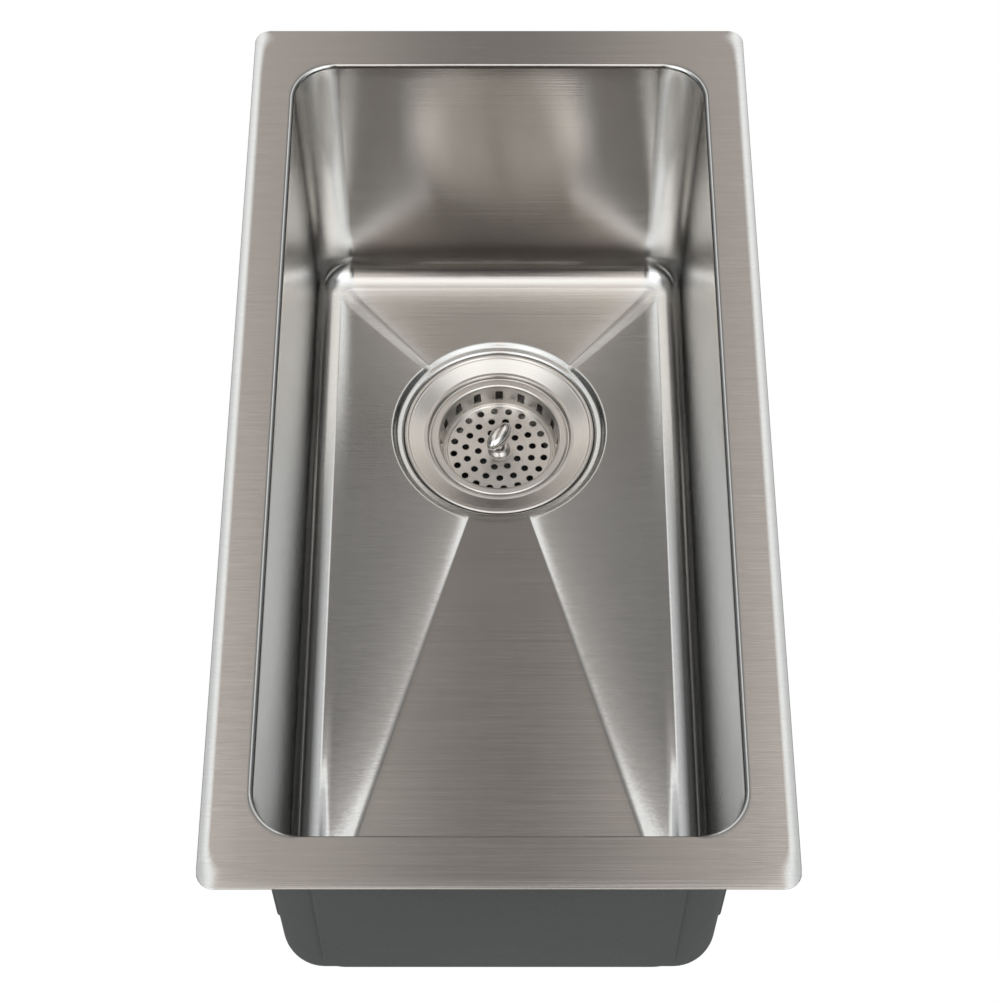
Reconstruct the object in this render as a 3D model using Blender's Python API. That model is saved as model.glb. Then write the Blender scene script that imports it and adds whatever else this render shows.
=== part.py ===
"""Undermount stainless steel sink bowl with its basket strainer and tailpiece.

Frame: the origin is the centre of the bowl's opening, in the plane of the flange's top face.
+Z is up, +Y runs to the back of the bowl, where the drain is, and +X to the right.
Lengths are named in millimetres and multiplied by MM, because Blender works in metres.
Heights of the drain pieces are measured from DECK, the floor's lowest line around the drain.
"""

import math

import bmesh
import bpy
from mathutils import Matrix

MM = 0.001
GAP = 0.3  # clearance left between pieces that touch

# Bowl, one drawn sheet
RIM_WIDTH = 274.6
RIM_LENGTH = 514.2
RIM_CORNER = 8.5
FLANGE_SIDE = 21.5
FLANGE_END = 24.2
SHEET = 1.2
LIP_RADIUS = 2.2
OPENING_CORNER = 25.0
BOWL_DEPTH = 189.3
WALL_DRAFT = math.radians(0.5)
FLOOR_FILLET = 16.0
FLOOR_DROP = 3.0
OPENING_HALF_X = RIM_WIDTH / 2 - FLANGE_SIDE
OPENING_HALF_Y = RIM_LENGTH / 2 - FLANGE_END

# Drain
DRAIN_Y = 111.7
DECK = -(BOWL_DEPTH + FLOOR_DROP)
RECESS_RADIUS = 63.6
FLOOR_BLEND = 18.0  # the width over which the sloping panels meet the level ring round the recess
HOLE_RADIUS = 45.0
SIDES = 40
CORNER_PARTS = 5
STRAIGHT_PARTS = (8, 10, 4, 10)  # rear, left, front, right
LIP_STEPS = 3

# Strainer
OUTLET_BORE = 19.6
OUTLET_THREAD = 23.6
OUTLET_END = -62.0
TUBE_RADIUS = 19.05
TUBE_BORE = 18.2
TUBE_LENGTH = 101.6
CUP_THREAD = 41.4

# Basket
POST_RADIUS = 2.6
POST_TOP = -10.1
BASKET_SHEET = 0.8
BASKET_FLOOR = -20.2
FLOOR_HOLE_RADIUS = 2.0
FLOOR_HOLE_SIDES = 8
FLOOR_HOLE_ROWS = ((27.8, 20, 6.0), (20.5, 15, 7.0), (12.8, 10, 5.0))  # row radius, holes, first angle
SLOT_COUNT = 16
SLOT_WIDTH = 4.7
SLOT_TOP = -9.6
SLOT_BOTTOM = -17.2
KNOB_YAW = math.radians(57.0)
KNOB_LENGTH = 19.0
KNOB_WIDTH = 9.2
KNOB_HEIGHT = 8.6
KNOB_CENTRE = -5.3

# Sound pads
PAD_THICK = 2.0
PAD_CORNER = 12.0
PAD_TOP = -26.0
PAD_BOTTOM = -171.5
BOTTOM_PAD_HALF = 74.0


def clear_scene():
    for old in list(bpy.data.objects):
        bpy.data.objects.remove(old, do_unlink=True)


def material(name, colour, roughness, metallic):
    """A Principled BSDF material."""
    made = bpy.data.materials.new(name)
    made.use_nodes = True
    shader = made.node_tree.nodes["Principled BSDF"]
    shader.inputs["Base Color"].default_value = (*colour, 1.0)
    shader.inputs["Roughness"].default_value = roughness
    shader.inputs["Metallic"].default_value = metallic
    return made


def add_empty(name, place):
    """An empty at a place in millimetres, for the pieces that are modelled round it."""
    made = bpy.data.objects.new(name, None)
    made.location = [c * MM for c in place]
    bpy.context.scene.collection.objects.link(made)
    return made


def add_object(name, mesh, finish, parent=None):
    """Links a new object that carries the mesh and its material."""
    mesh.materials.append(finish)
    mesh.shade_smooth()
    mesh.set_sharp_from_angle(angle=math.radians(35))
    made = bpy.data.objects.new(name, mesh)
    made.parent = parent
    bpy.context.scene.collection.objects.link(made)
    return made


def loft(name, rings, finish, wraps=False, parent=None):
    """A closed solid through rings of points, all of one count. A ring of one point is a pole.

    With wraps the last ring joins the first, as on a turned ring. Otherwise the end rings are capped.
    Points are in millimetres, and the rings run so that their faces point outwards or all inwards.
    """
    mesh = bpy.data.meshes.new(name)
    work = bmesh.new()
    rows = [[work.verts.new([c * MM for c in point]) for point in ring] for ring in rings]
    pairs = list(zip(rows, rows[1:]))
    if wraps:
        pairs.append((rows[-1], rows[0]))
    for low, high in pairs:
        count = max(len(low), len(high))
        for i in range(count):
            j = (i + 1) % count
            corners = [low[i % len(low)], low[j % len(low)], high[j % len(high)], high[i % len(high)]]
            distinct = list(dict.fromkeys(corners))
            work.faces.new(distinct)
    if not wraps:
        for end in (rows[0], rows[-1]):
            if len(end) > 2:
                work.faces.new(end)
    bmesh.ops.recalc_face_normals(work, faces=work.faces)
    if work.calc_volume(signed=True) < 0:
        bmesh.ops.reverse_faces(work, faces=work.faces)
    work.to_mesh(mesh)
    work.free()
    return add_object(name, mesh, finish, parent)


def circle(radius, z, sides=SIDES):
    """A level ring round the local Z axis, or a pole where the radius is 0."""
    if radius == 0:
        return [(0, 0, z)]
    turn = 2 * math.pi / sides
    return [(radius * math.cos(turn * i), radius * math.sin(turn * i), z) for i in range(sides)]


def turned(name, profile, finish, drain, wraps=True, sides=SIDES):
    """A piece turned round the drain's axis from (radius, height above DECK) points."""
    return loft(name, [circle(r, z, sides) for r, z in profile], finish, wraps, drain)


def rounded_rectangle(half_x, half_y, corner, z):
    """A level ring round a rectangle with round corners, anticlockwise from the right side's rear end.

    The points of each straight stand at equal angles seen from the drain, so that rings
    which shrink towards the drain come out evenly spaced.
    """
    ring = []
    corners = ((1, 1, 0.0), (-1, 1, 0.5), (-1, -1, 1.0), (1, -1, 1.5))
    for number, (sx, sy, start) in enumerate(corners):
        centre_x = sx * (half_x - corner)
        centre_y = sy * (half_y - corner)
        for i in range(CORNER_PARTS + 1):
            angle = math.pi * (start + 0.5 * i / CORNER_PARTS)
            ring.append((centre_x + corner * math.cos(angle), centre_y + corner * math.sin(angle), z))
        next_x, next_y, next_start = corners[(number + 1) % 4]
        here = (ring[-1][0], ring[-1][1] - DRAIN_Y)
        ahead = (
            next_x * (half_x - corner) + corner * math.cos(math.pi * next_start),
            next_y * (half_y - corner) + corner * math.sin(math.pi * next_start) - DRAIN_Y,
        )
        run_x, run_y = ahead[0] - here[0], ahead[1] - here[1]
        first = math.atan2(here[1], here[0])
        sweep = (math.atan2(ahead[1], ahead[0]) - first) % (2 * math.pi)
        parts = STRAIGHT_PARTS[number]
        for i in range(1, parts):
            angle = first + sweep * i / parts
            across, up = math.cos(angle), math.sin(angle)
            reach = (here[0] * run_y - here[1] * run_x) / (across * run_y - up * run_x)
            ring.append((across * reach, DRAIN_Y + up * reach, z))
    return ring


def offset_down(profile, distance):
    """The profile moved by a distance along its normals, away from the side that faces up."""
    moved = []
    for i, (r, z) in enumerate(profile):
        before = profile[max(i - 1, 0)]
        after = profile[min(i + 1, len(profile) - 1)]
        run, rise = after[0] - before[0], after[1] - before[1]
        length = math.hypot(run, rise)
        moved.append((r - distance * rise / length, z + distance * run / length))
    return moved


def wall_profile():
    """(inset from the opening, height, normal) of the sheet's upper side, from the lip to the floor."""
    points = []
    lip_steps, fillet_steps = LIP_STEPS, 5
    lip_turn = math.pi / 2 - WALL_DRAFT
    for i in range(lip_steps + 1):
        a = lip_turn * i / lip_steps
        normal = (math.sin(a), math.cos(a))
        points.append((LIP_RADIUS * normal[0], LIP_RADIUS * (normal[1] - 1), normal))
    lip_in, lip_z, _ = points[-1]
    fillet_z = -BOWL_DEPTH + FLOOR_FILLET
    start_z = fillet_z - FLOOR_FILLET * math.sin(WALL_DRAFT)
    start_in = lip_in + math.tan(WALL_DRAFT) * (lip_z - start_z)
    centre_in = start_in + FLOOR_FILLET * math.cos(WALL_DRAFT)
    for i in range(fillet_steps + 1):
        b = WALL_DRAFT + (math.pi / 2 - WALL_DRAFT) * i / fillet_steps
        normal = (math.cos(b), math.sin(b))
        inset, z = centre_in - FLOOR_FILLET * normal[0], fillet_z - FLOOR_FILLET * normal[1]
        points.append((inset, z, normal))
    return points


def wall_ring(inset, z):
    return rounded_rectangle(OPENING_HALF_X - inset, OPENING_HALF_Y - inset, OPENING_CORNER - inset, z)


def floor_point(edge, beyond):
    """The floor's point on the line from the drain's centre to a point of its edge.

    beyond is the distance outside the recess. The floor is four flat panels that fall to the drain,
    with creases at the corners, and it levels out over FLOOR_BLEND to the recess.
    """
    dx, dy = edge[0], edge[1] - DRAIN_Y
    reach = math.hypot(dx, dy)
    distance = RECESS_RADIUS + beyond
    share = distance / reach
    panel = -BOWL_DEPTH - FLOOR_DROP * (1 - share)
    near = max(0.0, 1 - (distance - RECESS_RADIUS) / FLOOR_BLEND)
    level = near * near * (3 - 2 * near)
    return dx * share, DRAIN_Y + dy * share, panel * (1 - level) + DECK * level


def recess_profile():
    """(radius, height above DECK) of the drain's recess, from the floor in to the hole."""
    seat, depth, dish_slope = 54.0, 2.8, 0.36
    return [
        (61.9, -0.3),
        (60.7, -1.2),
        (60.0, -2.3),
        (58.6, -depth),
        (seat, -depth),
        (HOLE_RADIUS, -depth - dish_slope * (seat - HOLE_RADIUS)),
    ]


def make_bowl(finish):
    """Flange, lip, walls, floor and recess as one sheet: the upper side's rings, then the lower's."""
    walls = wall_profile()
    upper = [rounded_rectangle(RIM_WIDTH / 2, RIM_LENGTH / 2, RIM_CORNER, 0)]
    upper += [wall_ring(inset, z) for inset, z, _ in walls]
    edge = upper[-1]
    blend_shares = (1.0, 0.7, 0.4, 0.15, 0.0)
    floor = [[floor_point(p, FLOOR_BLEND * share) for p in edge] for share in blend_shares]
    recess = recess_profile()

    def recess_ring(radius, z):
        """A ring whose points keep the directions of the floor's points."""
        ring = []
        for x, y, _ in floor[-1]:
            scale = radius / RECESS_RADIUS
            ring.append((x * scale, DRAIN_Y + (y - DRAIN_Y) * scale, DECK + z))
        return ring

    lower = [rounded_rectangle(RIM_WIDTH / 2, RIM_LENGTH / 2, RIM_CORNER, -SHEET)]
    lower += [wall_ring(inset - SHEET * n[0], z - SHEET * n[1]) for inset, z, n in walls]
    lower += [[(x, y, z - SHEET) for x, y, z in ring] for ring in floor]
    lower += [recess_ring(r, z) for r, z in offset_down([(RECESS_RADIUS, 0), *recess], SHEET)[1:]]
    rings = upper + floor + [recess_ring(r, z) for r, z in recess] + lower[::-1]
    return loft("sink_bowl", rings, finish, wraps=True)


def pad_outline(half_width, top, bottom, corner, steps=5):
    """(across, height) round a pad with round corners."""
    points = []
    high, low = top - corner, bottom + corner
    for side, centre_z, start in ((1, high, 0.0), (-1, high, 0.5), (-1, low, 1.0), (1, low, 1.5)):
        centre = side * (half_width - corner)
        for i in range(steps + 1):
            angle = math.pi * (start + 0.5 * i / steps)
            points.append((centre + corner * math.cos(angle), centre_z + corner * math.sin(angle)))
    return points


def make_wall_pad(name, half_width, wall_half, turn, finish):
    """A pad on the outside of a wall that stands wall_half from the centre, at a turn about +Z."""
    lip_in, lip_z, _ = wall_profile()[LIP_STEPS]
    rings = []
    for out in (GAP, GAP + PAD_THICK):
        ring = []
        for across, z in pad_outline(half_width, PAD_TOP, PAD_BOTTOM, PAD_CORNER):
            inset = lip_in + math.tan(WALL_DRAFT) * (lip_z - z) - SHEET
            ring.append((across, -(wall_half - inset + out), z))
        rings.append(ring)
    pad = loft(name, rings, finish)
    pad.data.transform(Matrix.Rotation(turn, 4, "Z"))
    return pad


def make_bottom_pad(finish):
    """A pad under the front of the floor, folded along the floor's creases."""
    edge_inset = wall_profile()[-1][0]
    half_x = OPENING_HALF_X - edge_inset
    front_y = -(OPENING_HALF_Y - edge_inset)
    reach = DRAIN_Y - front_y
    front_margin, drain_margin, widest_crease, rows = 6.0, 8.0, BOTTOM_PAD_HALF * 0.96, 7
    length = reach - front_margin - RECESS_RADIUS - FLOOR_BLEND - drain_margin
    top = []
    for i in range(rows):
        y = front_y + front_margin + length * i / (rows - 1)
        crease = min(half_x * (DRAIN_Y - y) / reach, widest_crease)
        row = []
        for x in (-BOTTOM_PAD_HALF, -crease, 0.0, crease, BOTTOM_PAD_HALF):
            share = max(abs(x) / half_x, (DRAIN_Y - y) / reach)
            row.append((x, y, -BOWL_DEPTH - FLOOR_DROP * (1 - share) - SHEET - 2 * GAP))
        top.append(row)
    rings = [row + [(x, y, z - PAD_THICK) for x, y, z in reversed(row)] for row in top]
    return loft("sound_pad_bottom", rings, finish)


def make_strainer_body(finish, drain):
    """Dished flange, shoulder for the basket, cup, stopper seat and threaded outlet."""
    inside = [
        (57.15, -1.3),
        (56.6, -0.5),
        (55.6, -0.3),
        (54.2, -0.65),
        (44.4, -4.2),
        (43.3, -4.7),
        (42.9, -5.5),
        (42.5, -6.5),
        (39.5, -6.5),
        (38.8, -7.2),
        (38.8, -26.5),
        (37.6, -29.4),
        (34.8, -31.0),
        (31.5, -31.4),
        (24.0, -35.7),
        (20.6, -37.3),
        (OUTLET_BORE, -38.8),
        (OUTLET_BORE, OUTLET_END),
    ]
    outside = [
        (22.8, OUTLET_END),
        (OUTLET_THREAD, OUTLET_END + 0.9),
        (OUTLET_THREAD, -43.0),
        (22.4, -42.0),
        (22.4, -39.4),
        (25.2, -37.0),
        (32.3, -32.9),
        (36.4, -32.2),
        (39.9, -29.9),
        (CUP_THREAD, -26.8),
        (CUP_THREAD, -8.0),
        (44.1, -7.6),
        (44.1, -5.5),
        (45.2, -4.8),
        (54.0, -1.65),
        (57.0, -1.6),
    ]
    return turned("strainer_body", inside + outside, finish, drain)


def cut(target, name, cutters):
    """Subtracts a bmesh of closed shapes, in the target's own space, with a Boolean modifier."""
    mesh = bpy.data.meshes.new(name)
    cutters.to_mesh(mesh)
    cutters.free()
    cutter = bpy.data.objects.new(name, mesh)
    cutter.parent = target.parent
    cutter.hide_render = True
    cutter.display_type = "WIRE"
    bpy.context.scene.collection.objects.link(cutter)
    boolean = target.modifiers.new(name, "BOOLEAN")
    boolean.operation = "DIFFERENCE"
    boolean.object = cutter


def make_crosspiece(finish, drain):
    """A disc in the outlet with four windows and a hub that guides the basket's post."""
    top, thick, radius = -40.0, 2.0, OUTLET_BORE - GAP
    hub_bore = POST_RADIUS + 1.3
    profile = [(hub_bore, top), (radius, top), (radius, top - thick), (hub_bore, top - thick)]
    disc = turned("outlet_crosspiece", profile, finish, drain)
    arm_half, inner, outer, steps = 1.9, 7.0, radius - 1.6, 4
    cutters = bmesh.new()
    for quarter in range(4):
        middle = math.pi / 4 + quarter * math.pi / 2
        points = []
        for reach, order in ((inner, 1), (outer, -1)):
            half = math.pi / 4 - math.asin(arm_half / reach)
            for i in range(steps + 1):
                angle = middle + order * half * (2 * i / steps - 1)
                points.append((reach * math.cos(angle) * MM, reach * math.sin(angle) * MM))
        low, high = (
            [cutters.verts.new((x, y, z * MM)) for x, y in points] for z in (top - thick - 2, top + 2)
        )
        cutters.faces.new(low)
        cutters.faces.new(high)
        for i in range(len(low)):
            j = (i + 1) % len(low)
            cutters.faces.new((low[i], low[j], high[j], high[i]))
    bmesh.ops.recalc_face_normals(cutters, faces=cutters.faces)
    cut(disc, "crosspiece_windows", cutters)
    return disc


def make_basket_cup(finish, drain):
    """The shallow basket, with rings of holes in its floor and slots round its wall."""
    bore = POST_RADIUS + GAP
    upper = [
        (41.4, -6.0),
        (40.7, -5.4),
        (38.0, -5.3),
        (36.7, -5.7),
        (36.2, -6.6),
        (34.1, -18.2),
        (33.2, -19.7),
        (31.9, BASKET_FLOOR),
        (bore, BASKET_FLOOR),
    ]
    lower = offset_down(upper, BASKET_SHEET)
    lower[0] = (41.4, -6.2)
    lower[-1] = (bore, BASKET_FLOOR - BASKET_SHEET)
    cup = turned("basket_cup", upper + lower[::-1], finish, drain)
    cutters = bmesh.new()
    for radius, count, first in FLOOR_HOLE_ROWS:
        for i in range(count):
            angle = math.radians(first) + 2 * math.pi * i / count
            centre = (radius * math.cos(angle) * MM, radius * math.sin(angle) * MM, BASKET_FLOOR * MM)
            bmesh.ops.create_cone(
                cutters,
                cap_ends=True,
                segments=FLOOR_HOLE_SIDES,
                radius1=FLOOR_HOLE_RADIUS * MM,
                radius2=FLOOR_HOLE_RADIUS * MM,
                depth=4 * BASKET_SHEET * MM,
                matrix=Matrix.Translation(centre),
            )
    slot_middle = (SLOT_TOP + SLOT_BOTTOM) / 2
    slot_reach, slot_depth = 35.5, 8.0
    for i in range(SLOT_COUNT):
        turn = Matrix.Rotation(math.pi / 2 + 2 * math.pi * i / SLOT_COUNT, 4, "Z")
        place = Matrix.Translation((slot_reach * MM, 0, slot_middle * MM))
        size = Matrix.Diagonal((slot_depth * MM, SLOT_WIDTH * MM, (SLOT_TOP - SLOT_BOTTOM) * MM, 1))
        bmesh.ops.create_cube(cutters, size=1.0, matrix=turn @ place @ size)
    cut(cup, "basket_holes", cutters)
    return cup


def oval(along, across, z, sides=20):
    """A level ellipse round the local Z axis, turned by KNOB_YAW."""
    ring = []
    for i in range(sides):
        angle = 2 * math.pi * i / sides
        u, v = along * math.cos(angle), across * math.sin(angle)
        x = u * math.cos(KNOB_YAW) - v * math.sin(KNOB_YAW)
        y = u * math.sin(KNOB_YAW) + v * math.cos(KNOB_YAW)
        ring.append((x, y, z))
    return ring


def make_knob(finish, drain):
    """A flattened oval grip on a short stem, with a socket for the post."""
    half, steps = KNOB_HEIGHT / 2, 7
    rings = [[(0, 0, KNOB_CENTRE + half)]]
    for i in range(1, steps):
        lean = math.pi * i / steps
        spread = math.sin(lean) ** 0.75
        height = KNOB_CENTRE + half * math.cos(lean)
        rings.append(oval(KNOB_LENGTH / 2 * spread, KNOB_WIDTH / 2 * spread, height))
    stem, socket = POST_RADIUS + 1.2, POST_RADIUS + GAP
    stem_top, stem_end = KNOB_CENTRE - half - 0.2, -12.8
    rings += [oval(stem, stem, stem_top), oval(stem, stem, stem_end)]
    rings += [oval(socket, socket, stem_end), oval(socket, socket, POST_TOP + GAP)]
    rings.append([(0, 0, POST_TOP + GAP)])
    return loft("knob", rings, finish, parent=drain)


def lobed_ring(radius, lobe_height, lobes, share, z, sides):
    """A level ring that stands out by lobe_height over a share of each of its lobes."""
    ring = []
    for i in range(sides):
        turn = i / sides
        reach = radius + (lobe_height if (turn * lobes) % 1 < share else 0)
        angle = 2 * math.pi * turn
        ring.append((reach * math.cos(angle), reach * math.sin(angle), z))
    return ring


def make_locknut(finish, drain):
    """A collar that draws the gasket up, with six lugs for a wrench."""
    top, plate, bottom, sides = -12.6, -15.8, -24.0, 48
    bore, plate_radius, collar_radius = CUP_THREAD + 0.4, 55.0, 47.0
    lugs, lug_height, lug_share = 6, 7.0, 0.3
    rings = [
        circle(bore, bottom, sides),
        circle(bore, top, sides),
        circle(plate_radius, top, sides),
        circle(plate_radius, plate, sides),
        lobed_ring(collar_radius, lug_height, lugs, lug_share, plate - 0.4, sides),
        lobed_ring(collar_radius, lug_height, lugs, lug_share, bottom, sides),
    ]
    return loft("locknut", rings, finish, wraps=True, parent=drain)


def make_coupling_nut(finish, drain):
    """A slip nut: its inner thread takes the outlet and its lip holds the tailpiece's flange."""
    top, seat, bottom, sides = -50.0, -66.2, -68.4, 48
    bore, lip, body = OUTLET_THREAD + 0.5, TUBE_RADIUS + 0.6, 26.6
    ribs, rib_height, rib_share, bevel = 12, 1.6, 0.5, 1.2
    rings = [
        circle(lip, bottom, sides),
        circle(lip, seat, sides),
        circle(bore, seat, sides),
        circle(bore, top, sides),
        circle(body, top, sides),
        lobed_ring(body, rib_height, ribs, rib_share, top - 1.0, sides),
        lobed_ring(body, rib_height, ribs, rib_share, bottom + 1.4, sides),
        circle(body - bevel, bottom, sides),
    ]
    return loft("coupling_nut", rings, finish, wraps=True, parent=drain)


def make_post_nut(finish, drain):
    """The hexagonal nut that holds the stopper on the post."""
    top, bottom, half_across, sides = -27.1, -29.6, 4.6, 12
    bore = POST_RADIUS + GAP

    def hexagon(z):
        ring = []
        for i in range(sides):
            angle = 2 * math.pi * i / sides
            reach = half_across / math.cos((angle + math.pi / 6) % (math.pi / 3) - math.pi / 6)
            ring.append((reach * math.cos(angle), reach * math.sin(angle), z))
        return ring

    rings = [circle(bore, bottom, sides), circle(bore, top, sides), hexagon(top), hexagon(bottom)]
    return loft("post_nut", rings, finish, wraps=True, parent=drain)


def make_drain_fixings(steel, chrome, zinc, rubber, fibre, putty, drain):
    """What holds the strainer in the bowl, and the outlet below it."""
    putty_top = [(56.6, -1.9), (54.0, -1.95), (46.0, -4.8)]
    putty_thick = 0.55
    putty_low = [(r, z - putty_thick) for r, z in reversed(putty_top)]
    turned("putty_ring", putty_top + putty_low, putty, drain)
    gasket = [(57.5, -4.35), (54.0, -4.35), (46.2, -7.45), (44.6, -8.1), (44.6, -11.0), (57.5, -11.0)]
    turned("rubber_gasket", gasket, rubber, drain)
    turned("friction_washer", [(56.0, -11.3), (42.2, -11.3), (42.2, -12.3), (56.0, -12.3)], fibre, drain)
    make_locknut(zinc, drain)
    top = OUTLET_END - GAP
    washer = [(22.3, top), (TUBE_BORE, top), (TUBE_BORE, top - 2), (22.3, top - 2)]
    turned("tailpiece_washer", washer, rubber, drain)
    flange = top - 2 - GAP
    tailpiece = [
        (21.8, flange),
        (TUBE_BORE, flange),
        (TUBE_BORE, flange - TUBE_LENGTH),
        (TUBE_RADIUS, flange - TUBE_LENGTH),
        (TUBE_RADIUS, flange - 1.2),
        (21.8, flange - 1.2),
    ]
    turned("tailpiece", tailpiece, chrome, drain)
    make_coupling_nut(chrome, drain)
    make_crosspiece(steel, drain)


def make_basket(steel, rubber, drain):
    """The pieces that lift out: the basket, its knob and post, and the stopper under it."""
    make_basket_cup(steel, drain)
    make_knob(steel, drain)
    end, tip = -44.6, 1.7
    post = [(0, POST_TOP), (POST_RADIUS, POST_TOP), (POST_RADIUS, end + 1.4), (tip, end), (0, end)]
    turned("basket_post", post, steel, drain, wraps=False, sides=20)
    bore = POST_RADIUS + GAP
    collar = [(bore, -16.9), (4.6, -17.2), (6.6, -18.7), (7.0, -19.9), (bore, -19.9)]
    turned("post_collar", collar, steel, drain, sides=24)
    seal_bore = bore + 0.1
    seal = [
        (seal_bore, -21.4),
        (9.0, -21.4),
        (9.6, -23.4),
        (20.0, -25.1),
        (26.6, -28.3),
        (29.6, -32.0),
        (28.6, -32.7),
        (25.4, -30.1),
        (18.6, -27.2),
        (9.8, -25.4),
        (seal_bore, -25.4),
    ]
    turned("stopper_seal", seal, rubber, drain)
    washer = [(seal_bore, -25.8), (9.2, -25.8), (9.2, -26.7), (seal_bore, -26.7)]
    turned("stopper_washer", washer, steel, drain, sides=24)
    make_post_nut(steel, drain)
    detent = [(bore, -39.6), (3.5, -40.2), (3.5, -41.6), (bore, -42.2)]
    turned("detent_ring", detent, steel, drain, sides=20)


def build():
    clear_scene()
    bowl_steel = material("bowl_steel", (0.60, 0.58, 0.56), 0.28, 1.0)
    strainer_steel = material("strainer_steel", (0.68, 0.66, 0.63), 0.22, 1.0)
    chrome = material("chrome_plate", (0.75, 0.75, 0.76), 0.1, 1.0)
    zinc = material("zinc_casting", (0.52, 0.53, 0.54), 0.5, 1.0)
    coated_pad = material("coated_pad", (0.13, 0.14, 0.14), 0.8, 0.0)
    rubber = material("black_rubber", (0.03, 0.03, 0.03), 0.7, 0.0)
    fibre = material("fibre_board", (0.36, 0.22, 0.16), 0.9, 0.0)
    putty = material("plumbers_putty", (0.55, 0.50, 0.42), 0.9, 0.0)

    make_bowl(bowl_steel)
    flat_x = OPENING_HALF_X - OPENING_CORNER
    flat_y = OPENING_HALF_Y - OPENING_CORNER
    make_wall_pad("sound_pad_front", flat_x, OPENING_HALF_Y, 0, coated_pad)
    make_wall_pad("sound_pad_back", flat_x, OPENING_HALF_Y, math.pi, coated_pad)
    make_wall_pad("sound_pad_right", flat_y, OPENING_HALF_X, math.pi / 2, coated_pad)
    make_wall_pad("sound_pad_left", flat_y, OPENING_HALF_X, -math.pi / 2, coated_pad)
    make_bottom_pad(coated_pad)

    drain = add_empty("drain_axis", (0, DRAIN_Y, DECK))
    make_strainer_body(strainer_steel, drain)
    make_drain_fixings(strainer_steel, chrome, zinc, rubber, fibre, putty, drain)
    make_basket(strainer_steel, rubber, drain)


build()
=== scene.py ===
"""The looks of an undermount stainless steel sink bowl with its basket strainer.

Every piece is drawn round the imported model: the bowl about the frame's origin, which is the centre
of its opening in the plane of the flange, and the drain pieces about the strainer's axis. Lengths
in the drain's profiles are in millimetres, with heights above DECK, the floor's lowest line.
"""

import math

import bpy
import numpy as np
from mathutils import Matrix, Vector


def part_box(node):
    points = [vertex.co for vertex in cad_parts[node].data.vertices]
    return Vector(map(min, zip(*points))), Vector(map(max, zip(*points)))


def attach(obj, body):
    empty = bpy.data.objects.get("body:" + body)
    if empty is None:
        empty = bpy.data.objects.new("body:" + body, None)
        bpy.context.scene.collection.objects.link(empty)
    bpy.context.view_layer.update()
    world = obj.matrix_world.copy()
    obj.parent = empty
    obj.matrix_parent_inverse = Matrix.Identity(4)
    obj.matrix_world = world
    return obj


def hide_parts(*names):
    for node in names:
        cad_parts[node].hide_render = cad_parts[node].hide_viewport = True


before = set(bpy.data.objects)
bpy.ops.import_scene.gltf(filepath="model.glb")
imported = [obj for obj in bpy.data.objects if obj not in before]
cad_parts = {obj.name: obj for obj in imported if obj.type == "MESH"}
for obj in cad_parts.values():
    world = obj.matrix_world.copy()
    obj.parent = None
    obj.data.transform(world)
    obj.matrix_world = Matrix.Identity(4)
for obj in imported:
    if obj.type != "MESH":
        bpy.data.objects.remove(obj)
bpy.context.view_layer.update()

MM = 0.001

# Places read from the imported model
RIM_HALF_X, RIM_HALF_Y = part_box("sink_bowl")[1][0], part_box("sink_bowl")[1][1]
STRAINER_LOW, STRAINER_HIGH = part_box("strainer_body")
DRAIN_Y = (STRAINER_LOW[1] + STRAINER_HIGH[1]) / 2
DECK = STRAINER_HIGH[2] + 0.3 * MM
TAIL_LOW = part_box("tailpiece")[0]

# The bowl's sheet
RIM_CORNER = 8.5 * MM
OPENING_HALF_X = RIM_HALF_X - 21.5 * MM
OPENING_HALF_Y = RIM_HALF_Y - 24.2 * MM
OPENING_CORNER = 25 * MM
SHEET = 1.2 * MM
LIP_RADIUS = 2.2 * MM
FLOOR_DROP = 4.5 * MM
BOWL_DEPTH = -DECK - FLOOR_DROP
WALL_DRAFT = math.radians(0.5)
WALL_FOOT, FLOOR_FOOT = 15 * MM, 18 * MM  # the bend's radius next to the wall and to the floor
FOOT_END = math.radians(8)  # the bend's slope where it meets the floor in a faint crease
RECESS_RADIUS = 60.6 * MM
RECESS_SHOULDER = 4.2 * MM  # the width over which the floor rounds down into the recess
RIM_EDGE = 0.35 * MM  # the radius of the flange's upper edge
FRONT_MARGIN, SIDE_MARGIN = 40 * MM, 9 * MM  # where the folds' dips run out, beside the walls
REAR_MARGIN, REAR_MARGIN_RISE = 5.5 * MM, 1.2 * MM
REAR_FROM, REAR_BLEND = 0.69, 0.05  # sines of directions: the rear panel's start, and its blend
PAD_THICK, PAD_CORNER, PAD_ROLL = 2 * MM, 12 * MM, 1.6 * MM
NUDGE = 0.001  # radians that keep the points of a rounded rectangle off its axes

# The floor's folds, which run from the drain to the floor's corners
FRONT_FOLD, REAR_FOLD = 73.4, 46.7  # degrees from the X axis
FOLD_WIDTH, FRONT_WIDENING, REAR_WIDENING = 5, 18, 3  # mm at the drain, and added at the corner
LEAST_SLOPE, MOST_SLOPE, REAR_SLOPE = 0.056, 0.13, 0.045
SLOPE_GROWTH, LEAST_SLOPE_PLACE = 0.42, 0.35  # the place is a share of the way along the fold

# The knob and the holes of the basket, in millimetres
KNOB_LENGTH, KNOB_WIDTH, KNOB_HEIGHT = 21.5, 10.8, 8.6
KNOB_TURN = math.radians(57)
KNOB_STEM, KNOB_BORE = 3.8, 2.9
HOLE_RINGS = ((27.8, 20, 6.0), (20.5, 15, 7.0), (12.8, 10, 5.0))  # radius, count, first in degrees
SLOT_COUNT, SLOT_HALF_WIDE, SLOT_HALF_TALL, SLOT_CORNER, SLOT_MIDDLE = 16, 2.35, 3.9, 0.8, -13.3
SLOT_FROM, SLOT_TO = 31.0, 40.0  # radii on either side of the basket's wall


# ---------------------------------------------------------------- meshes

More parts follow.
